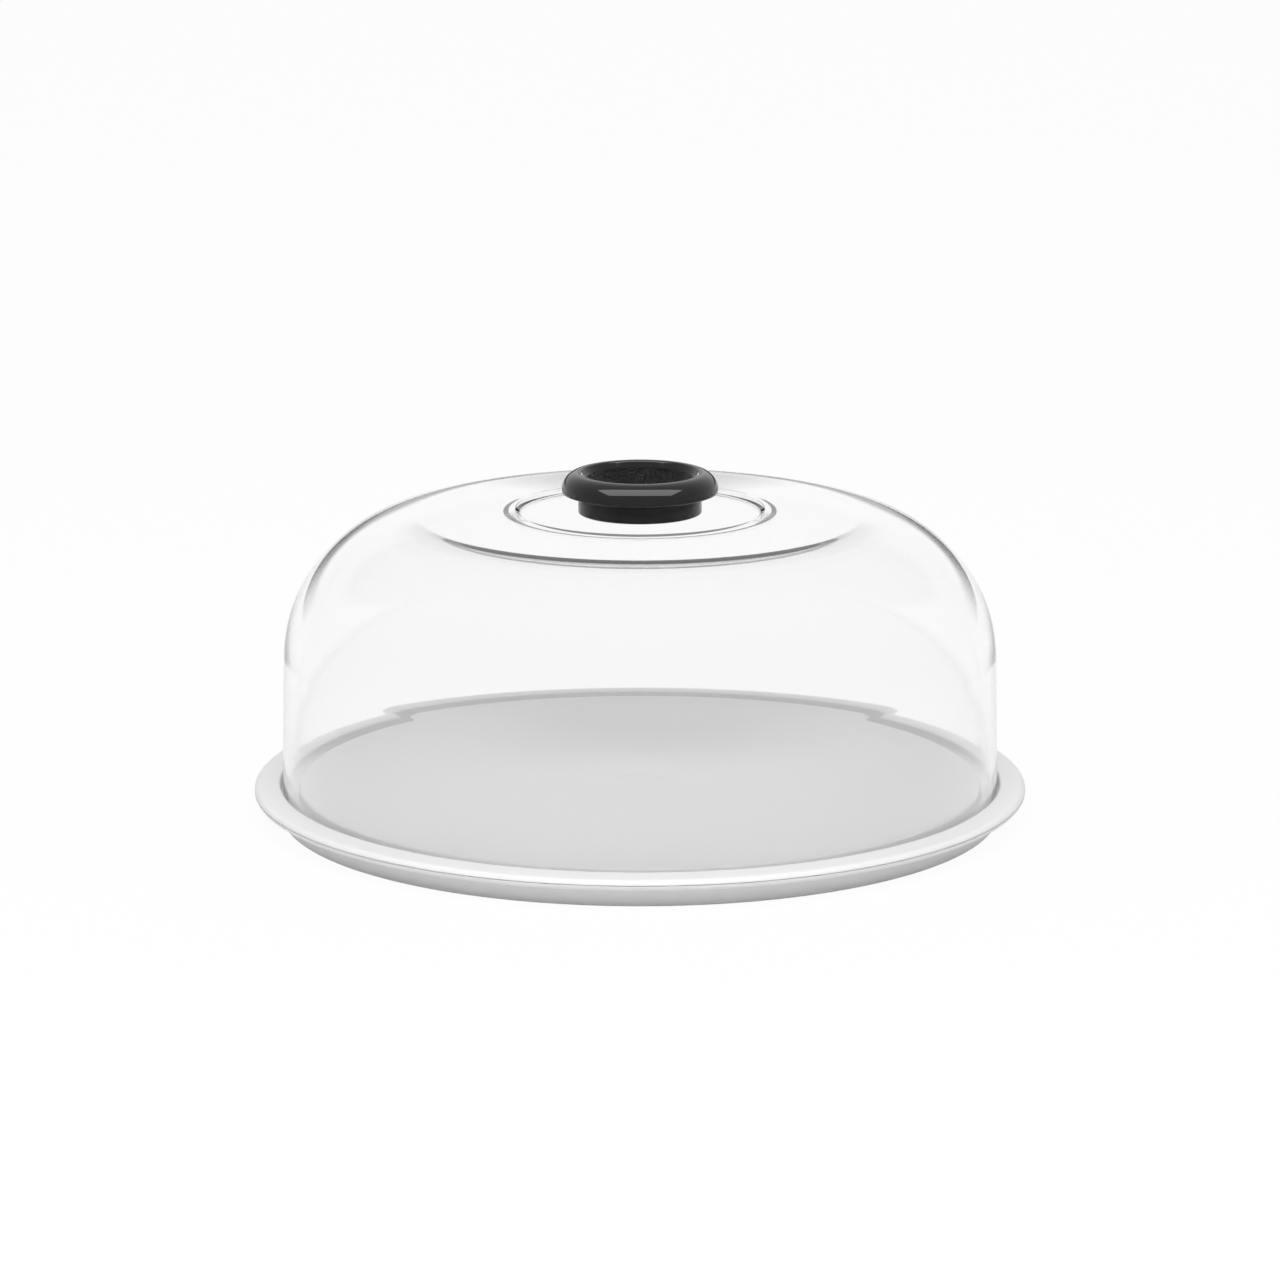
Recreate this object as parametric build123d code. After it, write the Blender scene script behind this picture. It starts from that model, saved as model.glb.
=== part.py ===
from build123d import *
import math
import os

os.makedirs("parts", exist_ok=True)

# A clear dome with a black cup knob, standing in the seat of a round platter.
# Millimetres. Z is up and is the axis of every piece. The foot rests on z = 0.

# Platter
rim_width = 11.0
rim_top_height = 13.9
rim_thickness = 4.6
seat_outer_radius = 154.0
seat_edge_height = 14.7
seat_floor_height = 9.6
seat_width = 8.3
seat_wall_slope = 0.3
plate_height = 14.0
plate_thickness = 3.0
foot_inset = 0.7
foot_wall = 2.8
foot_root_overhang = 3.4
gate_radius = 10.0
gate_depth = 0.25

# Dome
seat_clearance = 0.9
seat_lift = 0.4
wall_thickness = 2.2
wall_draft = 1.2
crown_height = 132.3
crown_thickness = 3.0
crown_fall = 2.7
shoulder_radius = 62.0
shoulder_easing = 1.2
recess_radius = 53.0
recess_depth = 1.6
recess_wall_slope = 2.0

# Knob
neck_radius = 26.3
neck_wall = 2.2
knob_height = 17.3
lip_radius = 33.2
skirt_gap_height = 8.7
skirt_wall = 2.4
roll_wall = 2.6
knob_floor = 3.0
boss_radius = 5.6
boss_height = 6.8

# Fixing
screw_radius = 2.0
screw_clearance = 0.3
thread_clearance = 0.05
insert_radius = 3.0
insert_length = 6.0
insert_clearance = 0.02
head_radius = 5.2
head_height = 2.2
socket_across_flats = 2.5
socket_depth = 1.3
washer_radius = 8.0
washer_thickness = 1.0

# Small roundings
edge_round = 0.6
inner_round = 1.0

# Heights and radii that follow from the sizes above
recess_floor_height = crown_height - recess_depth
recess_underside = recess_floor_height - crown_thickness
platter_radius = seat_outer_radius + rim_width
foot_radius = seat_outer_radius - foot_inset
dome_radius = seat_outer_radius - seat_clearance
dome_bottom = seat_floor_height + seat_lift
screw_hole_radius = screw_radius + screw_clearance
draft_slope = math.tan(math.radians(wall_draft))
fall_slope = math.tan(math.radians(crown_fall))


def turned(corners):
    """Solid of revolution about Z through (radius, height, rounding) corners."""
    points = [(radius, height) for radius, height, _ in corners]
    roundings = [rounding for _, _, rounding in corners]
    outline = FilletPolyline(*points, radius=roundings, close=True)
    return revolve(Plane.XZ * make_face(outline), Axis.Z)


def meet(wall_radius_at_zero, crown_height_at_zero):
    """Corner where a drafted wall line meets a falling crown line."""
    height = (crown_height_at_zero - fall_slope * wall_radius_at_zero) / (1 - fall_slope * draft_slope)
    return wall_radius_at_zero - draft_slope * height, height


def make_platter():
    """Plate, seat channel, rounded rim and sloping foot in one moulding."""
    plate_radius = seat_outer_radius - seat_width
    seat_inner = plate_radius + seat_wall_slope
    seat_outer = seat_outer_radius - seat_wall_slope
    plate_underside = plate_height - plate_thickness
    seat_underside = seat_floor_height - plate_thickness
    rim_underside = rim_top_height - rim_thickness
    foot_inner = foot_radius - foot_wall
    foot_root = seat_outer_radius + foot_root_overhang
    seat_root = plate_radius - plate_thickness
    foot_run = (foot_root - foot_radius) * seat_underside / rim_underside
    rim_round = rim_thickness / 2 - 0.01
    return turned([
        (0, plate_height - gate_depth, 0),
        (gate_radius - gate_depth, plate_height - gate_depth, 0),
        (gate_radius, plate_height, 0),
        (plate_radius, plate_height, inner_round),
        (seat_inner, seat_floor_height, inner_round),
        (seat_outer, seat_floor_height, inner_round),
        (seat_outer_radius, seat_edge_height, inner_round),
        (platter_radius, rim_top_height, rim_round),
        (platter_radius, rim_underside, rim_round),
        (foot_root, rim_underside, inner_round),
        (foot_radius, 0, edge_round),
        (foot_inner, 0, edge_round),
        (foot_inner + foot_run, seat_underside, inner_round),
        (seat_root, seat_underside, inner_round),
        (seat_root, plate_underside, inner_round),
        (0, plate_underside, 0),
    ])


def make_dome():
    """Clear shell with a rounded shoulder and a sunken round in the crown."""
    outer_zero = dome_radius + draft_slope * dome_bottom
    crown_zero = crown_height + fall_slope * recess_radius
    shoulder = meet(outer_zero, crown_zero)
    under_shoulder = meet(outer_zero - wall_thickness, crown_zero - crown_thickness)
    inner_round_radius = shoulder_radius - crown_thickness - shoulder_easing
    floor_radius = recess_radius - recess_wall_slope
    under_radius = recess_radius + crown_thickness
    under_slope_radius = under_radius + recess_depth
    under_edge_height = crown_zero - crown_thickness - fall_slope * under_slope_radius
    return turned([
        (screw_hole_radius, recess_underside, 0),
        (under_radius, recess_underside, inner_round),
        (under_slope_radius, under_edge_height, inner_round),
        (*under_shoulder, inner_round_radius),
        (dome_radius - wall_thickness, dome_bottom, edge_round),
        (dome_radius, dome_bottom, edge_round),
        (*shoulder, shoulder_radius),
        (recess_radius, crown_height, inner_round),
        (floor_radius, recess_floor_height, edge_round),
        (screw_hole_radius, recess_floor_height, 0),
    ])


def make_knob():
    """Open cup whose rim rolls outward and hangs down as a skirt."""
    base = recess_floor_height
    top = base + knob_height
    skirt_bottom = base + skirt_gap_height
    cup_radius = neck_radius - neck_wall
    roll_outer_round = lip_radius - neck_radius
    skirt_inner = lip_radius - skirt_wall
    mouth_radius = cup_radius + neck_wall / 2
    insert_top = base + insert_length
    bore_radius = insert_radius + insert_clearance
    return turned([
        (bore_radius, base, 0),
        (neck_radius, base, edge_round),
        (neck_radius, top - roll_wall, inner_round),
        (skirt_inner, top - roll_wall, inner_round),
        (skirt_inner, skirt_bottom, edge_round),
        (lip_radius, skirt_bottom, edge_round),
        (lip_radius, top, roll_outer_round),
        (mouth_radius, top, inner_round),
        (cup_radius, top - roll_wall, inner_round),
        (cup_radius, base + knob_floor, inner_round),
        (boss_radius, base + knob_floor, edge_round),
        (boss_radius, base + boss_height, edge_round),
        (0, base + boss_height, 0),
        (0, insert_top, 0),
        (bore_radius, insert_top, 0),
    ])


def make_insert():
    """Brass sleeve moulded into the boss, open at the bottom for the screw."""
    base = recess_floor_height
    bore_radius = screw_radius + thread_clearance
    return turned([
        (bore_radius, base, 0),
        (insert_radius, base, 0),
        (insert_radius, base + insert_length, 0),
        (bore_radius, base + insert_length, 0),
    ])


def make_washer():
    """Soft clear ring between the screw head and the underside of the dome."""
    top = recess_underside
    bottom = top - washer_thickness
    return turned([
        (screw_hole_radius, bottom, 0),
        (washer_radius, bottom, 0),
        (washer_radius, top, 0),
        (screw_hole_radius, top, 0),
    ])


def make_screw():
    """Low-head screw from below, its tip inside the insert."""
    head_top = recess_underside - washer_thickness
    head_bottom = head_top - head_height
    tip = recess_floor_height + insert_length - edge_round
    body = turned([
        (0, head_bottom, 0),
        (head_radius, head_bottom, edge_round),
        (head_radius, head_top, 0),
        (screw_radius, head_top, 0),
        (screw_radius, tip, edge_round / 2),
        (0, tip, 0),
    ])
    hexagon = RegularPolygon(socket_across_flats / 2, 6, major_radius=False)
    socket = extrude(Plane.XY.offset(head_bottom) * hexagon, socket_depth)
    return body - socket


makers = {
    "platter": make_platter,
    "dome": make_dome,
    "knob": make_knob,
    "knob_insert": make_insert,
    "screw_washer": make_washer,
    "knob_screw": make_screw,
}

for name, maker in makers.items():
    export_step(maker(), f"parts/{name}.step")
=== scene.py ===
"""Clear dome cover with a black cup knob on a white platter, with its studio."""

import math

import bmesh
import bpy
from bpy.props import FloatProperty, FloatVectorProperty, IntProperty, PointerProperty
from bpy.types import Operator, Panel, PropertyGroup
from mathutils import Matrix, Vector


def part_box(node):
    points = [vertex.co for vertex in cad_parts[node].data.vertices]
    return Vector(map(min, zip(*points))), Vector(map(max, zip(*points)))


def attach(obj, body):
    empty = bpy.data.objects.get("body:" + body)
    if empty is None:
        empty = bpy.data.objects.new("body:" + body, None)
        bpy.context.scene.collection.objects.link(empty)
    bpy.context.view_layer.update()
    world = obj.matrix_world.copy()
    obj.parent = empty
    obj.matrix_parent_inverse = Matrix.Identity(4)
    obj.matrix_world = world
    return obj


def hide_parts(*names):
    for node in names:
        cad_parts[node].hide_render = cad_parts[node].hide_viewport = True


bl_info = {
    "name": "Dome Cover With Platter",
    "version": (1, 0, 0),
    "blender": (4, 5, 0),
    "location": "3D View > Sidebar > Dome Cover",
    "description": "Makes a clear dome cover, its cup knob and the platter it stands on",
    "category": "Object",
}

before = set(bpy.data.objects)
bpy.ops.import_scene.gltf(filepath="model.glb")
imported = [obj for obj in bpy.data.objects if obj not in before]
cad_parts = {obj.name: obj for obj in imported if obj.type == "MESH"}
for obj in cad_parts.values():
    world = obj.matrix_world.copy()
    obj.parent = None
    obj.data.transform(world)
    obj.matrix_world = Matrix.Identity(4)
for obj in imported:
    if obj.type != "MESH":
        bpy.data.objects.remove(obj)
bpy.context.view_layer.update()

MM = 0.001

# How far the faces of a rounding may lie inside its true arc, and the fewest faces it has
CHORD_ERROR = 0.004 * MM
FEWEST_ARC_STEPS = 3
# Distance from a corner to the extra points that keep its shading off the faces beside it
HOLD = 0.25 * MM
# Points closer than this, where a solid meets its axis or its own start, become one
MERGE_DISTANCE = 0.002 * MM

# Roundings of edges and of corners, and what the rim's two roundings each leave straight
EDGE_ROUND = 0.6 * MM
CORNER_ROUND = 1.0 * MM
RIM_STRAIGHT = 0.01 * MM

# Light that the clear plastic lets through, and the bounces after which it lets a ray go on
CLEAR_SHADOW = (0.92, 0.92, 0.92, 1.0)
MOST_BOUNCES = 6.5

# Stage
FLOOR_SIZE = 16.0
FLOOR_COLOUR = (0.80, 0.80, 0.80, 1.0)
# How white the floor looks by itself; the rest is lit and shaded
FLOOR_WHITE = 0.95
KEY_SIZE = (1.8, 1.2)
SOFTBOX_SIZE = (4.0, 1.8)
SENSOR_WIDTH = 36.0
CAMERA_REACH = 40.0

# Brightness of the studio behind the object, by degrees above the horizon, and on other sides
STUDIO_LEVELS = ((-90, 1.0), (-1, 0.06), (5, 0.06), (8, 1.0), (25, 1.0), (50, 0.8), (90, 0.6))
STUDIO_SIDES = 0.95
# How far back a direction points where the studio behind begins, and where it is complete
BEHIND_START = 0.80
BEHIND_FULL = 0.95
# Soft light on matt surfaces: how far up a direction points, and its share of the ambient
SOFT_LOW = (0.05, 0.3)
SOFT_HIGH = (0.5, 1.15)


# Kinds of setting

def length(name, description, default):
    """A size in scene units."""
    return FloatProperty(name=name, description=description, default=default,
                         unit="LENGTH", subtype="DISTANCE", precision=5)


def angle(name, description, degrees):
    """An angle, given in degrees."""
    return FloatProperty(name=name, description=description, default=math.radians(degrees),
                         unit="ROTATION", subtype="ANGLE")


def power(name, description, watts):
    """Power of a lamp in watts."""
    return FloatProperty(name=name, description=description, default=watts, unit="POWER")


def colour(name, description, default):
    """A colour."""
    return FloatVectorProperty(name=name, description=description, default=default,
                               subtype="COLOR", size=3, min=0.0, max=1.0)


def fraction(name, description, default):
    """A plain number from 0 to 1."""
    return FloatProperty(name=name, description=description, default=default,
                         subtype="FACTOR", min=0.0, max=1.0)


# Settings that a user would change

class PlatterSettings(PropertyGroup):
    """Section and finish of the platter."""
    seat_radius: length("Seat radius", "Outer edge of the channel that takes the dome", 154.0 * MM)
    seat_edge: length("Seat edge height", "Top of the channel's outer edge", 14.7 * MM)
    seat_floor: length("Seat floor height", "Bottom of the channel", 9.6 * MM)
    seat_width: length("Seat width", "Width of the channel at its top", 8.3 * MM)
    seat_slope: length("Seat slope", "How far each channel wall leans in", 0.3 * MM)
    plate_height: length("Plate height", "Height of the plate in the middle", 14.0 * MM)
    wall: length("Wall", "Thickness of plate and channel", 3.0 * MM)
    rim_top: length("Rim top", "Height of the rim's outer edge", 13.9 * MM)
    rim_thickness: length("Rim thickness", "Thickness of the rim at its edge", 4.6 * MM)
    foot_radius: length("Foot radius", "Outer radius of the foot on the table", 153.3 * MM)
    foot_wall: length("Foot wall", "Thickness of the foot", 2.8 * MM)
    foot_root: length("Foot root", "How far the foot's top stands outside the channel", 3.4 * MM)
    gate_radius: length("Gate radius", "Round mark left where the plastic flowed in", 10.0 * MM)
    gate_depth: length("Gate depth", "Depth of that mark", 0.25 * MM)
    tint: colour("Tint", "Colour of the white plastic", (0.80, 0.80, 0.80))
    roughness: fraction("Roughness", "Roughness of the white plastic", 0.42)


class DomeSettings(PropertyGroup):
    """Section and finish of the dome."""
    wall: length("Wall", "Thickness of the wall", 2.2 * MM)
    crown: length("Crown thickness", "Thickness of the top", 3.0 * MM)
    crown_height: length("Crown height", "Height of the top beside the recess", 132.3 * MM)
    draft: angle("Draft", "Lean of the wall", 1.2)
    fall: angle("Fall", "Slope of the crown", 2.7)
    shoulder: length("Shoulder radius", "Rounding between crown and wall", 62.0 * MM)
    easing: length("Shoulder easing", "How much tighter the shoulder is inside", 1.2 * MM)
    recess_radius: length("Recess radius", "Upper edge of the sunken round", 53.0 * MM)
    recess_depth: length("Recess depth", "Depth of the sunken round", 1.6 * MM)
    recess_slope: length("Recess slope", "How far the recess wall leans in", 2.0 * MM)
    hole_radius: length("Hole radius", "Hole for the knob's screw", 2.3 * MM)
    tint: colour("Tint", "Colour of the clear plastic", (0.985, 0.985, 0.985))


class KnobSettings(PropertyGroup):
    """Section and finish of the knob."""
    neck_radius: length("Neck radius", "Radius of the neck", 26.3 * MM)
    neck_wall: length("Neck wall", "Thickness of the neck", 2.2 * MM)
    skirt_gap: length("Skirt gap", "Height of the finger gap under the rim", 8.7 * MM)
    skirt_wall: length("Skirt wall", "Thickness of the hanging rim", 2.4 * MM)
    roll_wall: length("Roll wall", "Thickness of the rim at its top", 2.6 * MM)
    floor: length("Floor", "Thickness of the cup's floor", 3.0 * MM)
    boss_radius: length("Boss radius", "Radius of the boss in the cup", 5.6 * MM)
    boss_height: length("Boss height", "Height of the boss", 6.8 * MM)
    bore_radius: length("Bore radius", "Bore that holds the insert", 3.02 * MM)
    bore_length: length("Bore length", "Depth of that bore", 6.0 * MM)
    tint: colour("Tint", "Colour of the black plastic", (0.004, 0.004, 0.0045))
    roughness: fraction("Roughness", "Roughness of the black plastic", 0.07)


class StageSettings(PropertyGroup):
    """Camera, floor and light."""
    distance: length("Camera distance", "Level distance from the dome's axis", 2.400)
    height: length("Camera height", "Height of the camera above the table", 0.6329)
    pitch: angle("Pitch", "How far the camera looks down", 13.09)
    lens: FloatProperty(name="Lens", description="Focal length on a 36 mm frame",
                        default=162.4, unit="CAMERA")
    lamp_distance: length("Lamp distance", "Distance of both lamps", 2.2)
    key_power: power("Key power", "Power of the lamp on the platter and the floor", 37.0)
    key_rise: angle("Key rise", "How high that lamp stands", 54.0)
    knob_power: power("Knob power", "Power of the softbox on the knob", 130.0)
    knob_rise: angle("Knob rise", "How high that softbox stands", 68.0)
    ambient: fraction("Ambient", "Strength of the surrounding light", 0.50)


class DomeCoverSettings(PropertyGroup):
    """Everything that can be set."""
    turns: IntProperty(name="Steps round", description="Faces round each turned piece",
                       default=288, min=32, max=512)
    platter: PointerProperty(type=PlatterSettings)
    dome: PointerProperty(type=DomeSettings)
    knob: PointerProperty(type=KnobSettings)
    stage: PointerProperty(type=StageSettings)


# Nodes that geometry, finishes and the studio share

def feed(tree, value, socket):
    """Give a socket a plain value, or link another node's output to it."""
    if isinstance(value, bpy.types.NodeSocket):
        tree.links.new(value, socket)
    else:
        socket.default_value = value


def math_node(tree, operation, *values, clamp=False):
    """Result of one calculation."""
    node = tree.nodes.new("ShaderNodeMath")
    node.operation = operation
    node.use_clamp = clamp
    for value, socket in zip(values, node.inputs):
        feed(tree, value, socket)
    return node.outputs[0]


def mixed_value(tree, factor, first, second):
    """Mix of two plain values."""
    node = tree.nodes.new("ShaderNodeMix")
    feed(tree, factor, node.inputs[0])
    feed(tree, first, node.inputs[2])
    feed(tree, second, node.inputs[3])
    return node.outputs[0]


def mapped_value(tree, value, low, high):
    """Value that runs straight between two (value, result) points and is level outside them."""
    node = tree.nodes.new("ShaderNodeMapRange")
    tree.links.new(value, node.inputs["Value"])
    for label, (place, result) in (("Min", low), ("Max", high)):
        node.inputs[f"From {label}"].default_value = place
        node.inputs[f"To {label}"].default_value = result
    return node.outputs[0]


# Turned solids

def corner_points(before, corner, after, rounding):
    """Points of the arc that rounds one corner, with a holding point on each side."""
    here = Vector(corner)
    if here.x == 0.0:
        return [here]
    to_before, to_after = Vector(before) - here, Vector(after) - here
    back, ahead = to_before.normalized(), to_after.normalized()
    if rounding == 0.0:
        return [here + back * min(HOLD, to_before.length / 3), here,
                here + ahead * min(HOLD, to_after.length / 3)]
    turn = math.pi - back.angle(ahead)
    reach = rounding * math.tan(turn / 2)
    middle = here + (back + ahead).normalized() * (rounding / math.cos(turn / 2))
    start = here + back * reach
    spoke = start - middle
    side = 1.0 if back.x * ahead.y - back.y * ahead.x < 0 else -1.0
    widest_step = 2 * math.acos(1 - CHORD_ERROR / rounding)
    steps = max(FEWEST_ARC_STEPS, math.ceil(turn / widest_step))
    points = []
    for step in range(steps + 1):
        swing = side * turn * step / steps
        points.append(middle + Vector((
            spoke.x * math.cos(swing) - spoke.y * math.sin(swing),
            spoke.x * math.sin(swing) + spoke.y * math.cos(swing))))
    return [start + back * HOLD, *points, points[-1] + ahead * HOLD]


def rounded_section(corners):
    """Closed outline of (radius, height) points through (radius, height, rounding) corners."""
    outline = []
    for index, (radius, height, rounding) in enumerate(corners):
        before = corners[index - 1][:2]
        after = corners[(index + 1) % len(corners)][:2]
        outline.extend(corner_points(before, (radius, height), after, rounding))
    return outline


def turned_places(tree, given, section_count, columns):
    """Place of each grid point: its point of the section, swung round Z by its column."""
    nodes, links = tree.nodes, tree.links
    index = nodes.new("GeometryNodeInputIndex").outputs[0]
    mid_index = math_node(tree, "ADD", index, 0.5)
    row = math_node(tree, "FLOOR", math_node(tree, "DIVIDE", mid_index, columns))
    column = math_node(tree, "SUBTRACT", index, math_node(tree, "MULTIPLY", row, columns))
    whole_turns = math_node(tree, "MULTIPLY", column, 2 * math.pi)
    swing = math_node(tree, "DIVIDE", whole_turns, given["Steps Round"])
    sample = nodes.new("GeometryNodeSampleIndex")
    sample.data_type = "FLOAT_VECTOR"
    links.new(given["Section"], sample.inputs["Geometry"])
    links.new(nodes.new("GeometryNodeInputPosition").outputs[0], sample.inputs["Value"])
    links.new(math_node(tree, "MODULO", row, section_count), sample.inputs["Index"])
    split = nodes.new("ShaderNodeSeparateXYZ")
    links.new(sample.outputs[0], split.inputs[0])
    place = nodes.new("ShaderNodeCombineXYZ")
    for axis, function in (("X", "COSINE"), ("Y", "SINE")):
        share = math_node(tree, function, swing)
        links.new(math_node(tree, "MULTIPLY", split.outputs["X"], share), place.inputs[axis])
    links.new(split.outputs["Z"], place.inputs["Z"])
    return place.outputs[0]


def turning_tree():
    """Geometry Nodes that turn a closed section about Z."""
    tree = bpy.data.node_groups.get("turned_section")
    if tree:
        return tree
    tree = bpy.data.node_groups.new("turned_section", "GeometryNodeTree")
    for label, direction, kind in (
            ("Section", "INPUT", "Geometry"), ("Steps Round", "INPUT", "Int"),
            ("Merge Distance", "INPUT", "Float"), ("Material", "INPUT", "Material"),
            ("Solid", "OUTPUT", "Geometry")):
        tree.interface.new_socket(label, in_out=direction, socket_type=f"NodeSocket{kind}")
    nodes, links = tree.nodes, tree.links
    given = nodes.new("NodeGroupInput").outputs
    size = nodes.new("GeometryNodeAttributeDomainSize")
    links.new(given["Section"], size.inputs["Geometry"])
    section_count = size.outputs["Point Count"]
    columns = math_node(tree, "ADD", given["Steps Round"], 1)
    grid = nodes.new("GeometryNodeMeshGrid")
    links.new(math_node(tree, "ADD", section_count, 1), grid.inputs["Vertices X"])
    links.new(columns, grid.inputs["Vertices Y"])
    move = nodes.new("GeometryNodeSetPosition")
    links.new(turned_places(tree, given, section_count, columns), move.inputs["Position"])
    merge = nodes.new("GeometryNodeMergeByDistance")
    links.new(given["Merge Distance"], merge.inputs["Distance"])
    smooth = nodes.new("GeometryNodeSetShadeSmooth")
    realize = nodes.new("GeometryNodeRealizeInstances")
    paint = nodes.new("GeometryNodeSetMaterial")
    links.new(given["Material"], paint.inputs["Material"])
    solid = grid.outputs["Mesh"]
    for step in (move, merge, smooth, realize, paint):
        links.new(solid, step.inputs["Geometry"])
        solid = step.outputs[0]
    links.new(solid, nodes.new("NodeGroupOutput").inputs["Solid"])
    return tree


def face_outward(solid):
    """Turn every face of a closed mesh outward."""
    work = bmesh.new()
    work.from_mesh(solid)
    bmesh.ops.recalc_face_normals(work, faces=work.faces)
    if work.calc_volume(signed=True) < 0:
        bmesh.ops.reverse_faces(work, faces=work.faces)
    work.to_mesh(solid)
    work.free()


def turned_piece(name, corners, material):
    """Closed smooth solid turned from a section, as a plain mesh at the origin."""
    outline = rounded_section(corners)
    count = len(outline)
    section = bpy.data.meshes.new(f"{name}_section")
    section.from_pydata([(point.x, 0.0, point.y) for point in outline],
                        [(i, (i + 1) % count) for i in range(count)], [])
    piece = bpy.data.objects.new(name, section)
    bpy.context.scene.collection.objects.link(piece)
    tree = turning_tree()
    modifier = piece.modifiers.new("Turned", "NODES")
    modifier.node_group = tree
    sockets = {item.name: item.identifier
               for item in tree.interface.items_tree if item.in_out == "INPUT"}
    modifier[sockets["Steps Round"]] = bpy.context.scene.dome_cover.turns
    modifier[sockets["Merge Distance"]] = MERGE_DISTANCE
    modifier[sockets["Material"]] = material
    bpy.context.view_layer.update()
    evaluated = piece.evaluated_get(bpy.context.evaluated_depsgraph_get())
    solid = bpy.data.meshes.new_from_object(evaluated)
    piece.modifiers.clear()
    piece.data = solid
    bpy.data.meshes.remove(section)
    face_outward(solid)
    return piece


# Shader groups that the finishes share

def new_group(name, inputs, outputs):
    """Empty shader group with named inputs and outputs."""
    group = bpy.data.node_groups.new(name, "ShaderNodeTree")
    for label, kind, default in inputs:
        socket = group.interface.new_socket(label, in_out="INPUT", socket_type=kind)
        if default is not None:
            socket.default_value = default
    for label, kind in outputs:
        group.interface.new_socket(label, in_out="OUTPUT", socket_type=kind)
    given = group.nodes.new("NodeGroupInput").outputs
    return group, given, group.nodes.new("NodeGroupOutput").inputs


def noise(tree, place, scale, detail):
    """Noise texture of a given scale."""
    texture = tree.nodes.new("ShaderNodeTexNoise")
    texture.inputs["Detail"].default_value = detail
    tree.links.new(place, texture.inputs["Vector"])
    tree.links.new(scale, texture.inputs["Scale"])
    return texture.outputs[0]


def moulded_skin_group():
    """Fine grain, slow sink marks and a little uneven gloss of moulded plastic."""
    group = bpy.data.node_groups.get("moulded_skin")
    if group:
        return group
    group, given, result = new_group(
        "moulded_skin",
        [("Vector", "NodeSocketVector", None), ("Grain Scale", "NodeSocketFloat", 900.0),
         ("Sink Scale", "NodeSocketFloat", 9.0), ("Sink Share", "NodeSocketFloat", 0.6),
         ("Roughness", "NodeSocketFloat", 0.3), ("Unevenness", "NodeSocketFloat", 0.05)],
        [("Height", "NodeSocketFloat"), ("Roughness", "NodeSocketFloat")])
    grain = noise(group, given["Vector"], given["Grain Scale"], detail=2.0)
    sink = noise(group, given["Vector"], given["Sink Scale"], detail=1.0)
    group.links.new(mixed_value(group, given["Sink Share"], grain, sink), result["Height"])
    centred = math_node(group, "SUBTRACT", sink, 0.5)
    spread = math_node(group, "MULTIPLY_ADD", centred, given["Unevenness"], given["Roughness"])
    group.links.new(spread, result["Roughness"])
    return group


def turned_marks_group():
    """Concentric tool marks of a turned metal face."""
    group = bpy.data.node_groups.get("turned_marks")
    if group:
        return group
    group, given, result = new_group(
        "turned_marks",
        [("Vector", "NodeSocketVector", None), ("Rings", "NodeSocketFloat", 900.0)],
        [("Height", "NodeSocketFloat")])
    rings = group.nodes.new("ShaderNodeTexWave")
    rings.wave_type = "RINGS"
    rings.rings_direction = "Z"
    rings.inputs["Distortion"].default_value = 0.6
    group.links.new(given["Vector"], rings.inputs["Vector"])
    group.links.new(given["Rings"], rings.inputs["Scale"])
    group.links.new(rings.outputs["Fac"], result["Height"])
    return group


# Finishes

def new_material(name):
    """Material with one Principled shader, and its tree and shader."""
    material = bpy.data.materials.new(name)
    material.use_nodes = True
    tree = material.node_tree
    return material, tree, tree.nodes["Principled BSDF"]


def add_group(tree, group):
    """Put a shared group in a material, on object coordinates."""
    node = tree.nodes.new("ShaderNodeGroup")
    node.node_tree = group
    coordinates = tree.nodes.new("ShaderNodeTexCoord").outputs["Object"]
    tree.links.new(coordinates, node.inputs["Vector"])
    return node


def add_bump(tree, shader, height, strength, depth):
    """Raise and sink a surface by a height value."""
    bump = tree.nodes.new("ShaderNodeBump")
    bump.inputs["Strength"].default_value = strength
    bump.inputs["Distance"].default_value = depth
    tree.links.new(height, bump.inputs["Height"])
    tree.links.new(bump.outputs["Normal"], shader.inputs["Normal"])


def add_gloss(tree, shader, roughness, unevenness, sink_scale):
    """Uneven gloss of a moulded skin."""
    skin = add_group(tree, moulded_skin_group())
    skin.inputs["Sink Scale"].default_value = sink_scale
    skin.inputs["Roughness"].default_value = roughness
    skin.inputs["Unevenness"].default_value = unevenness
    tree.links.new(skin.outputs["Roughness"], shader.inputs["Roughness"])
    return skin


def add_skin(tree, shader, roughness, unevenness, sink_scale, depth):
    """Moulded skin: uneven gloss and a bump of the given depth."""
    skin = add_gloss(tree, shader, roughness, unevenness, sink_scale)
    add_bump(tree, shader, skin.outputs["Height"], strength=0.3, depth=depth)


def choose_shader(tree, factor, first, second):
    """Show the first shader where the factor is 0, and the second where it is 1."""
    choose = tree.nodes.new("ShaderNodeMixShader")
    tree.links.new(factor, choose.inputs["Fac"])
    tree.links.new(first.outputs[0], choose.inputs[1])
    tree.links.new(second.outputs[0], choose.inputs[2])
    tree.links.new(choose.outputs[0], tree.nodes["Material Output"].inputs["Surface"])


def white_plastic(settings):
    """Satin white moulded plastic."""
    material, tree, shader = new_material("white_plastic")
    shader.inputs["Base Color"].default_value = (*settings.tint, 1.0)
    shader.inputs["IOR"].default_value = 1.50
    add_skin(tree, shader, settings.roughness, unevenness=0.10, sink_scale=14.0,
             depth=0.02 * MM)
    return material


def black_plastic(settings):
    """Polished black moulded plastic."""
    material, tree, shader = new_material("black_plastic")
    shader.inputs["Base Color"].default_value = (*settings.tint, 1.0)
    shader.inputs["IOR"].default_value = 1.52
    shader.inputs["Specular IOR Level"].default_value = 0.25
    add_skin(tree, shader, settings.roughness, unevenness=0.06, sink_scale=60.0,
             depth=0.0006 * MM)
    return material


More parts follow.
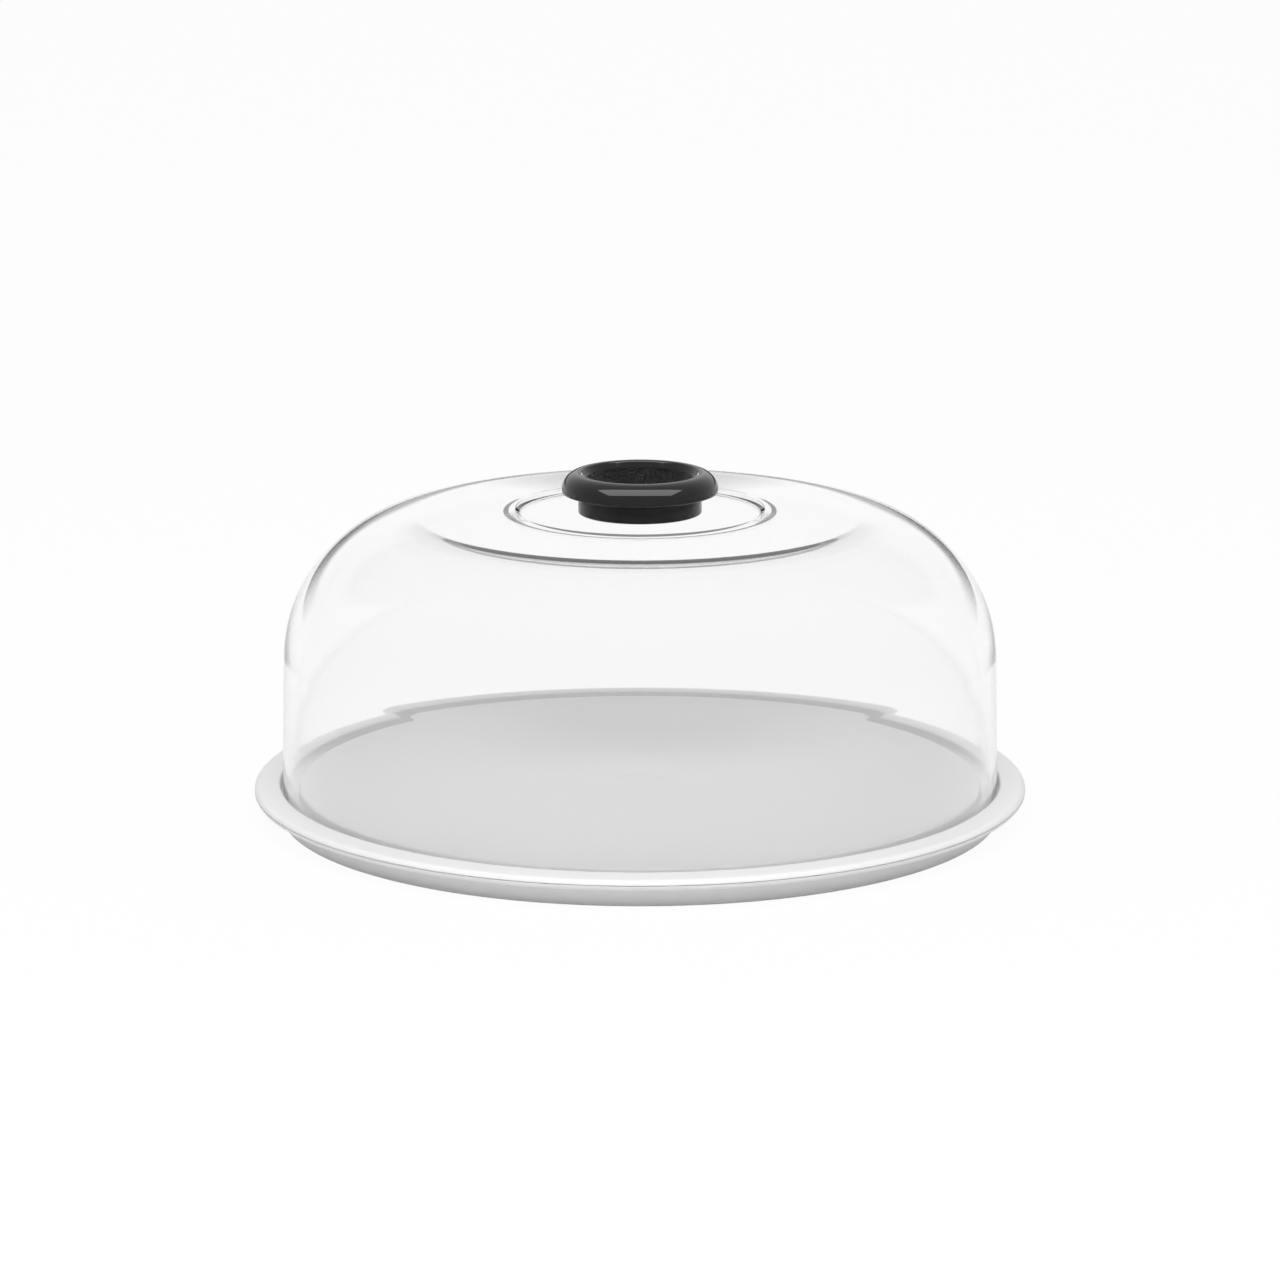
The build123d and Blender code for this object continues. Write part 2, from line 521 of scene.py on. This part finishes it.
def clear_plastic(settings):
    """Clear polished plastic that lets the lamps' light and trapped rays through."""
    material, tree, shader = new_material("clear_plastic")
    shader.inputs["Base Color"].default_value = (*settings.tint, 1.0)
    shader.inputs["IOR"].default_value = 1.50
    shader.inputs["Transmission Weight"].default_value = 1.0
    add_gloss(tree, shader, roughness=0.004, unevenness=0.01, sink_scale=18.0)
    see_through = tree.nodes.new("ShaderNodeBsdfTransparent")
    see_through.inputs["Color"].default_value = CLEAR_SHADOW
    ray = tree.nodes.new("ShaderNodeLightPath").outputs
    trapped = math_node(tree, "GREATER_THAN", ray["Ray Depth"], MOST_BOUNCES)
    passes = math_node(tree, "MAXIMUM", ray["Is Shadow Ray"], trapped)
    choose_shader(tree, passes, shader, see_through)
    return material


def soft_clear():
    """Clear soft plastic of the washer."""
    material, tree, shader = new_material("soft_clear")
    shader.inputs["Base Color"].default_value = (0.85, 0.86, 0.87, 1.0)
    shader.inputs["Transmission Weight"].default_value = 0.7
    shader.inputs["IOR"].default_value = 1.42
    add_skin(tree, shader, roughness=0.35, unevenness=0.1, sink_scale=200.0, depth=0.01 * MM)
    return material


def turned_metal(name, tint, roughness):
    """Turned metal with fine rings."""
    material, tree, shader = new_material(name)
    shader.inputs["Base Color"].default_value = (*tint, 1.0)
    shader.inputs["Metallic"].default_value = 1.0
    shader.inputs["Roughness"].default_value = roughness
    marks = add_group(tree, turned_marks_group())
    add_bump(tree, shader, marks.outputs["Height"], strength=0.4, depth=0.01 * MM)
    return material


# Sections of the pieces

def platter_corners(settings):
    """Section of the platter from the plate's middle round to its underside."""
    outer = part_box("platter")[1][0]
    plate_radius = settings.seat_radius - settings.seat_width
    plate_under = settings.plate_height - settings.wall
    gate_floor = settings.plate_height - settings.gate_depth
    seat_under = settings.seat_floor - settings.wall
    rim_under = settings.rim_top - settings.rim_thickness
    foot_inner = settings.foot_radius - settings.foot_wall
    foot_root = settings.seat_radius + settings.foot_root
    seat_root = plate_radius - settings.wall
    foot_run = (foot_root - settings.foot_radius) * seat_under / rim_under
    rim_round = settings.rim_thickness / 2 - RIM_STRAIGHT
    return [
        (0.0, gate_floor, 0.0),
        (settings.gate_radius - settings.gate_depth, gate_floor, 0.0),
        (settings.gate_radius, settings.plate_height, 0.0),
        (plate_radius, settings.plate_height, CORNER_ROUND),
        (plate_radius + settings.seat_slope, settings.seat_floor, CORNER_ROUND),
        (settings.seat_radius - settings.seat_slope, settings.seat_floor, CORNER_ROUND),
        (settings.seat_radius, settings.seat_edge, CORNER_ROUND),
        (outer, settings.rim_top, rim_round),
        (outer, rim_under, rim_round),
        (foot_root, rim_under, CORNER_ROUND),
        (settings.foot_radius, 0.0, EDGE_ROUND),
        (foot_inner, 0.0, EDGE_ROUND),
        (foot_inner + foot_run, seat_under, CORNER_ROUND),
        (seat_root, seat_under, CORNER_ROUND),
        (seat_root, plate_under, CORNER_ROUND),
        (0.0, plate_under, 0.0),
    ]


def meet(wall_zero, crown_zero, draft, fall):
    """Corner where a wall that leans in meets a crown that falls outward."""
    height = (crown_zero - fall * wall_zero) / (1 - fall * draft)
    return wall_zero - draft * height, height


def dome_corners(settings):
    """Section of the dome from the hole under the recess round to its top."""
    low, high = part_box("dome")
    radius, bottom = high[0], low[2]
    draft, fall = math.tan(settings.draft), math.tan(settings.fall)
    outer_zero = radius + draft * bottom
    crown_zero = settings.crown_height + fall * settings.recess_radius
    recess_floor = settings.crown_height - settings.recess_depth
    recess_under = recess_floor - settings.crown
    under_zero = crown_zero - settings.crown
    under_radius = settings.recess_radius + settings.crown
    under_edge = under_radius + settings.recess_depth
    inner_shoulder = settings.shoulder - settings.crown - settings.easing
    return [
        (settings.hole_radius, recess_under, 0.0),
        (under_radius, recess_under, CORNER_ROUND),
        (under_edge, under_zero - fall * under_edge, CORNER_ROUND),
        (*meet(outer_zero - settings.wall, under_zero, draft, fall), inner_shoulder),
        (radius - settings.wall, bottom, EDGE_ROUND),
        (radius, bottom, EDGE_ROUND),
        (*meet(outer_zero, crown_zero, draft, fall), settings.shoulder),
        (settings.recess_radius, settings.crown_height, CORNER_ROUND),
        (settings.recess_radius - settings.recess_slope, recess_floor, EDGE_ROUND),
        (settings.hole_radius, recess_floor, 0.0),
    ]


def knob_corners(settings):
    """Section of the knob from its bore round the outside to the boss in the cup."""
    low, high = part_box("knob")
    base, top, lip_radius = low[2], high[2], high[0]
    skirt_bottom = base + settings.skirt_gap
    skirt_inner = lip_radius - settings.skirt_wall
    cup_radius = settings.neck_radius - settings.neck_wall
    cup_floor = base + settings.floor
    boss_top = base + settings.boss_height
    bore_top = base + settings.bore_length
    roll_inner = top - settings.roll_wall
    return [
        (settings.bore_radius, base, 0.0),
        (settings.neck_radius, base, EDGE_ROUND),
        (settings.neck_radius, roll_inner, CORNER_ROUND),
        (skirt_inner, roll_inner, CORNER_ROUND),
        (skirt_inner, skirt_bottom, EDGE_ROUND),
        (lip_radius, skirt_bottom, EDGE_ROUND),
        (lip_radius, top, lip_radius - settings.neck_radius),
        (cup_radius + settings.neck_wall / 2, top, CORNER_ROUND),
        (cup_radius, roll_inner, CORNER_ROUND),
        (cup_radius, cup_floor, CORNER_ROUND),
        (settings.boss_radius, cup_floor, EDGE_ROUND),
        (settings.boss_radius, boss_top, EDGE_ROUND),
        (0.0, boss_top, 0.0),
        (0.0, bore_top, 0.0),
        (settings.bore_radius, bore_top, 0.0),
    ]


def dress(piece, node, body):
    """Let a turned piece stand for its node and move with its body."""
    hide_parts(node)
    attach(piece, body)


def set_node_material(node, material):
    """Give a carried-over piece its finish."""
    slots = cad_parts[node].material_slots
    if not slots:
        raise RuntimeError(f"{node} has no material slot")
    for slot in slots:
        slot.material = material


# Stage

def pale_floor():
    """Material that looks white and still takes the object's shadow."""
    material, tree, shader = new_material("pale_floor")
    shader.inputs["Base Color"].default_value = FLOOR_COLOUR
    shader.inputs["Roughness"].default_value = 0.9
    shader.inputs["Specular IOR Level"].default_value = 0.0
    glow = tree.nodes.new("ShaderNodeEmission")
    glow.inputs["Strength"].default_value = 1.0
    ray = tree.nodes.new("ShaderNodeLightPath").outputs
    seen = math_node(tree, "ADD", ray["Is Camera Ray"], ray["Is Transmission Ray"], clamp=True)
    seen = math_node(tree, "ADD", seen, ray["Is Glossy Ray"], clamp=True)
    choose_shader(tree, math_node(tree, "MULTIPLY", seen, FLOOR_WHITE), shader, glow)
    return material


def make_floor():
    """Wide pale floor under the object."""
    bpy.ops.mesh.primitive_plane_add(size=FLOOR_SIZE, location=(0.0, 0.0, 0.0))
    floor = bpy.context.active_object
    floor.name = "floor"
    floor.data.materials.append(pale_floor())
    return floor


def level_by_height(tree, upward):
    """Brightness of the studio behind the object, by how far up a direction points."""
    levels = tree.nodes.new("ShaderNodeValToRGB")
    stops = levels.color_ramp.elements
    while len(stops) < len(STUDIO_LEVELS):
        stops.new(1.0)
    for stop, (degrees, level) in zip(stops, STUDIO_LEVELS):
        stop.position = (math.sin(math.radians(degrees)) + 1.0) / 2.0
        stop.color = (level, level, level, 1.0)
    height = mapped_value(tree, upward, (-1.0, 0.0), (1.0, 1.0))
    tree.links.new(height, levels.inputs["Fac"])
    return levels.outputs["Color"]


def studio_world(ambient):
    """White for the camera, a studio for clear and glossy pieces, soft light for matt ones."""
    world = bpy.data.worlds.new("studio")
    bpy.context.scene.world = world
    world.use_nodes = True
    tree = world.node_tree
    background = tree.nodes["Background"]
    background.inputs["Color"].default_value = (1.0, 1.0, 1.0, 1.0)
    direction = tree.nodes.new("ShaderNodeSeparateXYZ")
    coordinates = tree.nodes.new("ShaderNodeTexCoord").outputs["Object"]
    tree.links.new(coordinates, direction.inputs[0])
    upward, backward = direction.outputs["Z"], direction.outputs["Y"]
    behind = mapped_value(tree, backward, (BEHIND_START, 0.0), (BEHIND_FULL, 1.0))
    studio = mixed_value(tree, behind, STUDIO_SIDES, level_by_height(tree, upward))
    low, high = ((place, share * ambient) for place, share in (SOFT_LOW, SOFT_HIGH))
    soft = mapped_value(tree, upward, low, high)
    ray = tree.nodes.new("ShaderNodeLightPath").outputs
    on_pieces = mixed_value(tree, ray["Diffuse Depth"], studio, soft)
    strength = mixed_value(tree, ray["Is Camera Ray"], on_pieces, 1.0)
    tree.links.new(strength, background.inputs["Strength"])


def leave_no_image(piece):
    """Keep a piece out of reflections, and out of the view through the clear crown."""
    piece.visible_glossy = False
    piece.visible_transmission = False


def area_lamp(name, distance, rise, size, watts):
    """Soft lamp in front of the object, at an angle above the table, that looks at it."""
    lamp = bpy.data.lights.new(name, "AREA")
    lamp.shape = "RECTANGLE"
    lamp.size, lamp.size_y = size
    lamp.energy = watts
    holder = bpy.data.objects.new(name, lamp)
    place = Vector((0.0, -distance * math.cos(rise), distance * math.sin(rise)))
    holder.location = place
    holder.rotation_euler = (-place).to_track_quat("-Z", "Y").to_euler()
    bpy.context.scene.collection.objects.link(holder)
    return holder


def light_only(lamp, receivers):
    """Keep a lamp's light to some objects, so that it has no mirror image in the others."""
    group = bpy.data.collections.new(f"{lamp.name}_receivers")
    for receiver in receivers:
        group.objects.link(receiver)
    lamp.light_linking.receiver_collection = group


def make_lamps(settings, platter, knob, floor):
    """Key lamp on the platter and the floor, and a softbox on the knob."""
    key = area_lamp("key", settings.lamp_distance, settings.key_rise, KEY_SIZE,
                    settings.key_power)
    light_only(key, [platter, floor])
    softbox = area_lamp("softbox", settings.lamp_distance, settings.knob_rise, SOFTBOX_SIZE,
                        settings.knob_power)
    light_only(softbox, [knob])


def make_camera(settings):
    """Camera in front of the object, looking down on it."""
    camera = bpy.data.objects.new("camera", bpy.data.cameras.new("camera"))
    camera.location = (0.0, -settings.distance, settings.height)
    camera.rotation_euler = (math.pi / 2 - settings.pitch, 0.0, 0.0)
    camera.data.lens = settings.lens
    camera.data.sensor_width = SENSOR_WIDTH
    camera.data.clip_end = CAMERA_REACH
    bpy.context.scene.collection.objects.link(camera)
    bpy.context.scene.camera = camera


# Operators

class DOMECOVER_OT_platter(Operator):
    """Make the white platter with its plate, seat channel, rim and foot"""
    bl_idname = "domecover.platter"
    bl_label = "Platter"

    def execute(self, context):
        settings = context.scene.dome_cover.platter
        piece = turned_piece("platter_moulding", platter_corners(settings),
                             white_plastic(settings))
        dress(piece, "platter", "platter")
        return {"FINISHED"}


class DOMECOVER_OT_dome(Operator):
    """Make the clear dome with its rounded shoulder and recessed crown"""
    bl_idname = "domecover.dome"
    bl_label = "Dome"

    def execute(self, context):
        settings = context.scene.dome_cover.dome
        piece = turned_piece("dome_shell", dome_corners(settings), clear_plastic(settings))
        dress(piece, "dome", "cover")
        return {"FINISHED"}


class DOMECOVER_OT_knob(Operator):
    """Make the black cup knob with its rolled rim"""
    bl_idname = "domecover.knob"
    bl_label = "Knob"

    def execute(self, context):
        settings = context.scene.dome_cover.knob
        piece = turned_piece("knob_moulding", knob_corners(settings), black_plastic(settings))
        dress(piece, "knob", "cover")
        return {"FINISHED"}


class DOMECOVER_OT_fixing(Operator):
    """Finish the screw, the washer and the insert that hold the knob"""
    bl_idname = "domecover.fixing"
    bl_label = "Knob Fixing"

    def execute(self, context):
        steel = turned_metal("stainless_steel", tint=(0.62, 0.62, 0.63), roughness=0.28)
        brass = turned_metal("turned_brass", tint=(0.72, 0.55, 0.28), roughness=0.30)
        set_node_material("knob_screw", steel)
        set_node_material("knob_insert", brass)
        set_node_material("screw_washer", soft_clear())
        return {"FINISHED"}


class DOMECOVER_OT_stage(Operator):
    """Make the pale floor, the soft lamps and the camera"""
    bl_idname = "domecover.stage"
    bl_label = "Stage"

    def execute(self, context):
        settings = context.scene.dome_cover.stage
        context.scene.view_settings.view_transform = "Standard"
        floor = make_floor()
        studio_world(settings.ambient)
        knob = bpy.data.objects["knob_moulding"]
        for piece in (knob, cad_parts["knob_insert"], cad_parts["knob_screw"]):
            leave_no_image(piece)
        make_lamps(settings, bpy.data.objects["platter_moulding"], knob, floor)
        make_camera(settings)
        return {"FINISHED"}


class DOMECOVER_PT_panel(Panel):
    """Lists the pieces in the sidebar"""
    bl_idname = "DOMECOVER_PT_panel"
    bl_label = "Dome Cover"
    bl_space_type = "VIEW_3D"
    bl_region_type = "UI"
    bl_category = "Dome Cover"

    def draw(self, context):
        settings = context.scene.dome_cover
        self.layout.prop(settings, "turns")
        for part, operator in (("platter", DOMECOVER_OT_platter), ("dome", DOMECOVER_OT_dome),
                               ("knob", DOMECOVER_OT_knob), ("stage", DOMECOVER_OT_stage)):
            box = self.layout.box()
            box.operator(operator.bl_idname)
            group = getattr(settings, part)
            for name in group.bl_rna.properties.keys():
                if name not in ("rna_type", "name"):
                    box.prop(group, name)
        self.layout.operator(DOMECOVER_OT_fixing.bl_idname)


CLASSES = (
    PlatterSettings, DomeSettings, KnobSettings, StageSettings, DomeCoverSettings,
    DOMECOVER_OT_platter, DOMECOVER_OT_dome, DOMECOVER_OT_knob, DOMECOVER_OT_fixing,
    DOMECOVER_OT_stage, DOMECOVER_PT_panel,
)


def register():
    """Add the classes and the settings."""
    for cls in CLASSES:
        bpy.utils.register_class(cls)
    bpy.types.Scene.dome_cover = PointerProperty(type=DomeCoverSettings)


def unregister():
    """Take the settings and the classes away again."""
    del bpy.types.Scene.dome_cover
    for cls in reversed(CLASSES):
        bpy.utils.unregister_class(cls)


def main():
    """Make every piece and the stage."""
    register()
    bpy.ops.domecover.platter()
    bpy.ops.domecover.dome()
    bpy.ops.domecover.knob()
    bpy.ops.domecover.fixing()
    bpy.ops.domecover.stage()


if __name__ == "__main__":
    main()
